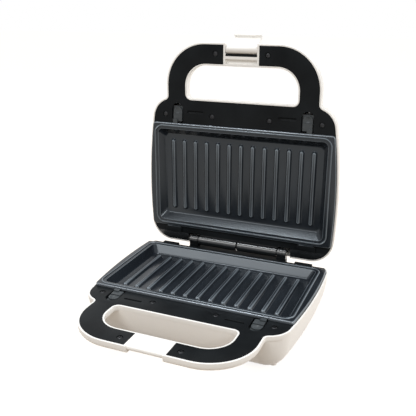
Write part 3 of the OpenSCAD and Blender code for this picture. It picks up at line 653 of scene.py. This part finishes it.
# Each end knuckle carries three raised bands
bands = [(54.5, 5.4), (54.8, groove_r)]
for x in (55.5, 59.3, 63.1):
    bands += [(x, groove_r), (x + 0.2, knuckle_r), (x + 2.2, knuckle_r), (x + 2.4, groove_r)]
bands += [(66.2, groove_r), (66.5, 5.5)]
for side in (-1, 1):
    support = box("support", base_place, sorted((side * 54.6, side * 66.4)), (82.8, 91.5), (-4.6, 2.5))
    combined(support, "DIFFERENCE", rod("room", base_place, (hinge_y, hinge_z), 5, 80))
    combined(base_deck, "UNION", support,
             knuckle("end_knuckle", base_place, [(side * x, r) for x, r in bands], hinge_z))
finished(base_deck, "black_deck")
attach(base_deck, "base")
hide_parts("base_deck")


# ---------------------------------------------------------------- base plate
# The lift-out cooking plate: a die-cast aluminium pan with a wide flange, a raised bead round its
# mouth and thirteen ribs, under a dark non-stick coating whose convex edges carry a lighter painted
# highlight. Its tongues hook under the rear catches, and the clips' tongues enter two pockets in its
# front edge.

# Convex edges get a lighter painted highlight, and the flange's front edge in the base and top edge in the
# lid a lighter, partly metallic painted highlight.
dressed("coated_casting", [(27, 31, 36), (34, 39, 45)], 0.21,
        {"Specular IOR Level": 0.42, "Specular Tint": (0.86, 0.94, 1, 1)},
        clouds=22, grain=1300, depth=0.00001, edge=(138, 148, 156), painted_flange_highlight=(-0.0468, 0.2133, (118, 124, 130)))

# Heights of the bead and the floor; the flange's bowed side, and the radii of its corners
bead_z, floor_z = -0.25, -11.3
flange_bow, front_r, back_r = bow_r - 2.2, 4, 3
flange_front = against_bow(-64.1, front_r, flange_bow)
flange_rear = against_bow(68.3, back_r, flange_bow)
flange_outline = both_sides([(*flange_front, front_r, -90, heading(bow, flange_front)),
                             (*bow, flange_bow, heading(bow, flange_front), heading(bow, flange_rear)),
                             (*flange_rear, back_r, heading(bow, flange_rear), 90)])


def floor_outline(grow):
    """Outline of the cavity's floor, grown on every side."""
    half, deep = 104.7, 54.1
    return box_outline(-half - grow, half + grow, plate_y - deep - grow, plate_y + deep + grow, 6)


def between(first, second, steps):
    """Rings from one outline to another, at steps of (height, share)."""
    first, second = trace(first), trace(second)
    return [[(a + (c - a) * t, b + (d - b) * t, height) for (a, b), (c, d) in zip(first, second)]
            for height, t in steps]


# Distance of a rib from the next, half its straight length, and its height over the floor at
# distances from its middle line: a flat back and soft flanks
rib_pitch, rib_half = 15.5, 44
rib_section = [(0, 3), (0.9, 3), (1.3, 2.93), (1.65, 2.72), (1.95, 2.4), (2.5, 1.54), (3.1, 0.6),
               (3.35, 0.3), (3.7, 0.08), (4.1, 0)]


def rib_height(x, y):
    """Height of the floor with its ribs."""
    across = (x + rib_pitch / 2) % rib_pitch - rib_pitch / 2
    away = sqrt(across ** 2 + max(abs(y - plate_y) - rib_half, 0) ** 2)
    for (near, high), (far, low) in zip(rib_section, rib_section[1:]):
        if away <= far:
            return floor_z + high + (low - high) * (away - near) / (far - near)
    return floor_z


def plate(name, place):
    """The casting, with the ribs as a sheet of rows in its floor."""
    pan = between(plate_outline(skirt, 6), floor_outline(skirt), [(-14.3, 1), (-13.9, 0.97), (deck_z, 0)])
    flange = stack(flange_outline, edged(deck_z, flange_top, 0.3, 1.1))
    bead = stack(plate_outline(0, 6), [
        (flange_top, -5.7), (-0.9, -5.55), (-0.55, -5.3), (-0.32, -5), (bead_z, -4.6), (bead_z, -4.4),
        (-0.32, -4), (-0.55, -3.7), (-0.9, -3.45), (flange_top, -3.3), (-1.25, -1), (-1.4, -0.3), (-1.8, 0)])
    walls = between(plate_outline(0, 6), floor_outline(0), [
        (-1.8, 0), (-9, 0.76), (-9.9, 0.86), (-10.7, 0.96), (-11.15, 1.07), (floor_z, 1.2)])
    offsets = [away for away, _ in rib_section[1:]]
    columns = [rib_pitch * k + x for k in range(-6, 7) for x in [-x for x in offsets[::-1]] + [0] + offsets]
    ends = [rib_half + y for y in offsets]
    rows = [-y for y in ends[::-1]] + [rib_half * k / 2 for k in range(-2, 3)] + ends
    floor = [[(x, plate_y + y, rib_height(x, plate_y + y)) for x in columns] for y in rows]
    dish = moulded(name, place, pan, flange, bead + walls[1:], sheet=floor)
    cuts = []
    for side in (-1, 1):
        cuts.append(box("pocket", place, sorted((side * (clip_x - 1), side * (clip_x + 7))),
                        (-69, -65.3), (-6, -2.3), 0.3))
        for x in (-7.6, 7.6):
            nick = side * clip_x + x
            cuts.append(box("nick", place, (nick - 0.4, nick + 0.4), (-69, -67.3), (-2.2, 0), 0.1))
    combined(dish, "DIFFERENCE", joined("cuts", cuts))
    tongues = [box("tongue", place, (side * catch_x - 9, side * catch_x + 9), (70, 75.8), (-4.5, -2.4))
               for side in (-1, 1)]
    return combined(dish, "UNION", joined("tongues", tongues))


base_plate = finished(plate("base_dish", base_place), "coated_casting")
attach(base_plate, "base")
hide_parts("base_plate")


# ---------------------------------------------------------------- clips and deck screws of the base
# A thumb slide of dark grey nylon holds each front corner of the plate: pushed forward against its
# spring, it draws its tongue out of the flange. The deck is fixed with six blackened screws.

dressed("grey_nylon", [(56, 60, 63), (70, 75, 78)], 0.42, {"Specular IOR Level": 0.3},
        clouds=40, grain=1600, depth=0.00004)
dressed("blackened_screw", [(38, 39, 42), (54, 55, 58)], 0.35, {"Metallic": 0.5}, clouds=300, grain=2500)

# Half the width of a slide
clip_r = 5.9


def clip(name, place):
    """Slide with a scooped thumb end, guide plate, spring finger, and the root and tip of the tongue."""
    outline = rounded(*[(clip_x + x, y, r) for x, y, r in (
        (-clip_r, -88.6, 5.7), (clip_r, -88.6, 5.7), (clip_r, -70.4, 0.5), (-clip_r, -70.4, 0.5))])
    slide = moulded(name, place, stack(outline, edged(-7.5, -4.2, 0.1, 0.5)))
    scoop = turned((clip_x, -84.2), [(-6.3, 0.4), (-6.2, 1.3), (-5.95, 2.4), (-5.45, 3.6), (-4.7, 4.8)], 2)
    combined(slide, "DIFFERENCE", box("step", place, (clip_x - 8, clip_x + 8), (-90, -79.8), (-5.3, -3), 0.1),
             moulded("scoop", place, scoop))
    guide = box("guide", place, (clip_x - 9.6, clip_x + 9.6), (-89.8, -70.2), (-9.9, -7.3))
    for x in (clip_x - 7.2, clip_x + 7.2):
        combined(guide, "DIFFERENCE", box("groove", place, (x - 1.1, x + 1.1), (-88, -69), (-9.2, -7)))
    return combined(slide, "UNION", guide,
                    box("finger", place, (clip_x - 4.5, clip_x + 4.5), (-84.1, -82), (-16, -9.5)),
                    box("root", place, (clip_x - 0.2, clip_x + 6.2), (-73.4, -70.38), (-5.2, -2.8), 0.3),
                    box("tongue", place, (clip_x - 0.2, clip_x + 6.2), (-70.4, -66.4), (-4.3, -2.8), 0.4))


left = Matrix.Diagonal((-1, 1, 1, 1))
base_clip_left = finished(clip("base_slide_left", base_place @ left), "grey_nylon")
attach(base_clip_left, "base_clip_left")
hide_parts("base_clip_left")
base_clip_right = finished(clip("base_slide_right", base_place), "grey_nylon")
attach(base_clip_right, "base_clip_right")
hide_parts("base_clip_right")


def deck_screws(name, place, bar_length):
    """Six pan-head screws with a cross recess, just under the deck's face; those in the bar are short."""
    pairs = []
    for spots, length in ((screw_spots[:2], 9.4), (screw_spots[2:], bar_length)):
        screw = moulded("screw", Matrix(), turned((0, 0), [
            (-length, 0.7), (0.7 - length, 1.4), (-1.4, 1.5), (-1.4, 3), (-1, 3), (-0.6, 2.75),
            (-0.2, 2.1), (0, 1.2)], 2, 32))
        for across, along in (((-1.8, 1.8), (-0.4, 0.4)), ((-0.4, 0.4), (-1.8, 1.8))):
            combined(screw, "DIFFERENCE", box("recess", Matrix(), across, along, (-0.9, 1), 0.1))
        pairs.append(joined("pair", [screw], [place @ Matrix.Translation((side * x, y, deck_z - 0.2))
                                              for side in (-1, 1) for x, y in spots]))
    return finished(joined(name, pairs), "blackened_screw")


base_screws = deck_screws("base_deck_screws", base_place, 5.8)
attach(base_screws, "base")
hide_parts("base_screws")


# ---------------------------------------------------------------- hinge pins
# Two bright steel pins with upset heads, pushed in from the ends through the base's ribbed knuckles
# into the lid's long ones.

dressed("pin_steel", [(186, 184, 178), (214, 212, 206)], 0.25, {"Metallic": 1.0}, clouds=200, grain=2600)

pin_profile = [(6, 1.5), (6.5, 2), (66.65, 2), (66.7, 2.5), (67.1, 2.6), (67.4, 2.3), (67.5, 1)]
pins = joined("hinge_rods", [moulded("pin", base_place, turned(
    (hinge_y, hinge_z), [(side * x, r) for x, r in pin_profile], 0)) for side in (-1, 1)])
finished(pins, "pin_steel")
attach(pins, "base")
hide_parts("hinge_pins")


# ---------------------------------------------------------------- lid shell
# The upper half of the case, moulded like the base but flatter, with a pocket for the latch in its
# handle bar, two holes for the lenses and room for the hinge's knuckles.

# Standing open, the lid is turned back by a right angle; it is drawn face down, as the base is.
opened = (Matrix.Translation(hinge_point) @ Matrix.Rotation(-pi / 2, 4, "X")
          @ Matrix.Translation(-hinge_point) @ base_place)
lid_place = opened @ Matrix.Diagonal((1, 1, -1, 1))

# Height of the handle's outer face, axis and bore of the latch pin, and place of the lenses
handle_z = -17
latch_y, latch_z, latch_bore = -161.2, -10, 1.55
lens_x, lens_y = 12, -58
# How far the cover's wall is moved in at each depth
lid_levels = [(4.5, 0), (18, 1), (30, 4), (37, 9), (41, 18), (42.2, 30), (42.5, 40)]


def end_room(side):
    """Room in the lid for an end knuckle of the base."""
    return moulded("end_room", lid_place,
                   turned((hinge_y, -hinge_z), [(side * 53.9, 7.6), (side * 70.5, 7.6)], 0))


lid_shell = shell("lid_case", lid_levels, lid_place, handle_z, 3.2, 8)
combined(lid_shell, "DIFFERENCE", box("pocket", lid_place, notch, (-180, -163.2), whole_height),
         box("pocket", lid_place, notch, (-180, -153.2), (-16.1, 5)),
         box("bar_recess", lid_place, notch, (-150, -144.2), (-8.5, 5)),
         rod("barrel_room", lid_place, (hinge_y, -hinge_z), 6.4, 54.9),
         rod("pin_bore", lid_place, (latch_y, latch_z), latch_bore, 27))
for side in (-1, 1):
    lens_hole = turned((side * lens_x, lens_y), [(-60, 3.6), (-35, 3.6)])
    combined(lid_shell, "DIFFERENCE", end_room(side), moulded("lens_hole", lid_place, lens_hole))
finished(lid_shell, "white_shell")
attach(lid_shell, "lid")
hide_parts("lid_shell")


# ---------------------------------------------------------------- indicator lenses
# Two small domed lenses of amber-red plastic in the lid's outer face, held by their collars from
# inside, over the lamps on their board.

dressed("red_lens", [(196, 46, 20), (222, 70, 34)], 0.15, {"Transmission Weight": 0.35, "Coat Weight": 0.4},
        clouds=180, grain=900, depth=0.00001)

lens_profile = [(-38.1, 4.8), (-38.3, 5), (-39.5, 5), (-39.5, 3.5), (-42.8, 3.5), (-43.2, 3.1), (-43.4, 2.2),
                (-43.5, 1)]
lenses = joined("signal_lenses", [moulded("lens", lid_place, turned((side * lens_x, lens_y), lens_profile))
                                  for side in (-1, 1)])
finished(lenses, "red_lens", 40)
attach(lenses, "lid")
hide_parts("indicator_lenses")


# ---------------------------------------------------------------- lid deck
# The black cover of the lid, of the same glass-filled moulding as the base's and screwed down in the
# same way. Its two long knuckles form most of the hinge's barrel.

long_profile = [(0.7, 5.8), (1.2, knuckle_r), (53.4, knuckle_r), (53.9, 5.8)]
lid_deck = deck("lid_cover", lid_place)
for side in (-1, 1):
    combined(lid_deck, "DIFFERENCE", end_room(side))
    combined(lid_deck, "UNION", knuckle("long_knuckle", lid_place, [(side * x, r) for x, r in long_profile],
                                        -hinge_z))
finished(lid_deck, "black_deck")
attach(lid_deck, "lid")
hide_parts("lid_deck")


# ---------------------------------------------------------------- lid plate, clips and screws
# The same coated casting, nylon slides and blackened screws again, turned face down into the lid.
# The plate hooks under the catches by the hinge, and the slides hold its edge by the handle.

lid_plate = finished(plate("lid_dish", lid_place), "coated_casting")
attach(lid_plate, "lid")
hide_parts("lid_plate")
lid_clip_left = finished(clip("lid_slide_left", lid_place @ left), "grey_nylon")
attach(lid_clip_left, "lid_clip_left")
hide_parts("lid_clip_left")
lid_clip_right = finished(clip("lid_slide_right", lid_place), "grey_nylon")
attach(lid_clip_right, "lid_clip_right")
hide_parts("lid_clip_right")
lid_screws = deck_screws("lid_deck_screws", lid_place, 9.4)
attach(lid_screws, "lid")
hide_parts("lid_screws")


# ---------------------------------------------------------------- clip springs
# Behind each slide a small spring of steel wire stands between a stop of the deck and the slide's
# finger. It is drawn at rest; the slide travels four millimetres.

# Where a coil starts, its length, height and radius, the wire's radius, and its turns
coil_front, coil_l, coil_z, coil_r, wire_r = -93.85, 9.2, -12.8, 2.1, 0.35
coil_turns, turn_steps = 6, 24


def coil(name, place):
    """Turns of round wire, wound round a line from front to back."""
    rings, steps = [], coil_turns * turn_steps
    for k in range(steps + 1):
        a, y = 2 * pi * k / turn_steps, coil_front + coil_l * k / steps
        rings.append([(clip_x + (coil_r + wire_r * cos(b)) * cos(a), y + wire_r * sin(b),
                       coil_z + (coil_r + wire_r * cos(b)) * sin(a)) for b in [pi / 4 * s for s in range(8)]])
    return moulded(name, place, rings)


for half, place, along in (("base", base_place, (0, 1, 0)), ("lid", lid_place, (0, 0, 1))):
    for hand, turn in (("left", left), ("right", Matrix())):
        spring = finished(coil(f"{half}_coil_{hand}", place @ turn), "spring_steel", 60)
        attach(spring, half)
        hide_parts(f"{half}_spring_{hand}")
        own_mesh(spring)


# ---------------------------------------------------------------- latch
# A white moulded lever that turns on a steel pin in the lid's block: a thick barrel, an arm that is
# stepped for the thumb, and a hook that grips the catch.

# The lever is drawn as it hangs when shut, and is swung back over the handle's edge here.
lever_place = opened @ Matrix.Translation((0, latch_y, -latch_z)) @ Matrix.Rotation(radians(-125), 4, "X")
lean = radians(25)


def on_arm(offset, along, r=0.2):
    """A corner of the arm's outline, by its offset from the middle line and distance from the axis."""
    return (offset * cos(lean) - along * sin(lean), -offset * sin(lean) - along * cos(lean), r)


def across(outline, levels):
    """Rings of an upright outline (y, z) at levels of (x, inset)."""
    return [[(x, y, z) for y, z in trace(outline, inset)] for x, inset in levels]


# Offsets of the arm's faces, the length to its tip, and the hook's upper and lower face and its point
outer, inner, step, tip, hook_top, hook_foot, hook_point = -0.9, 1.9, 1.1, 26, -21.6, -24.6, -3.6
arm = rounded(on_arm(outer, 3), on_arm(outer, tip, 0.8), (on_arm(outer, tip)[0], hook_foot, 0.8),
              (hook_point, hook_foot, 0.9), (hook_point, hook_top, 0.7),
              on_arm(inner, (-hook_top - inner * sin(lean)) / cos(lean), 0.5), on_arm(inner, 8.8, 0.4),
              on_arm(step, 8.8, 0.2), on_arm(step, 3))
lever = moulded("latch", lever_place, across(arm, edged(-17, 17, 0.6, 0.6)))
barrel = moulded("barrel", lever_place, turned((0, 0), [
    (-19.5, 5), (-19.3, 5.4), (-18.9, 5.6), (18.9, 5.6), (19.3, 5.4), (19.5, 5)], 0, 64))
combined(lever, "UNION", barrel)
combined(lever, "DIFFERENCE", rod("bore", lever_place, (0, 0), latch_bore, 21))
finished(lever, "white_shell")
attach(lever, "latch")
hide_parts("latch_lever")
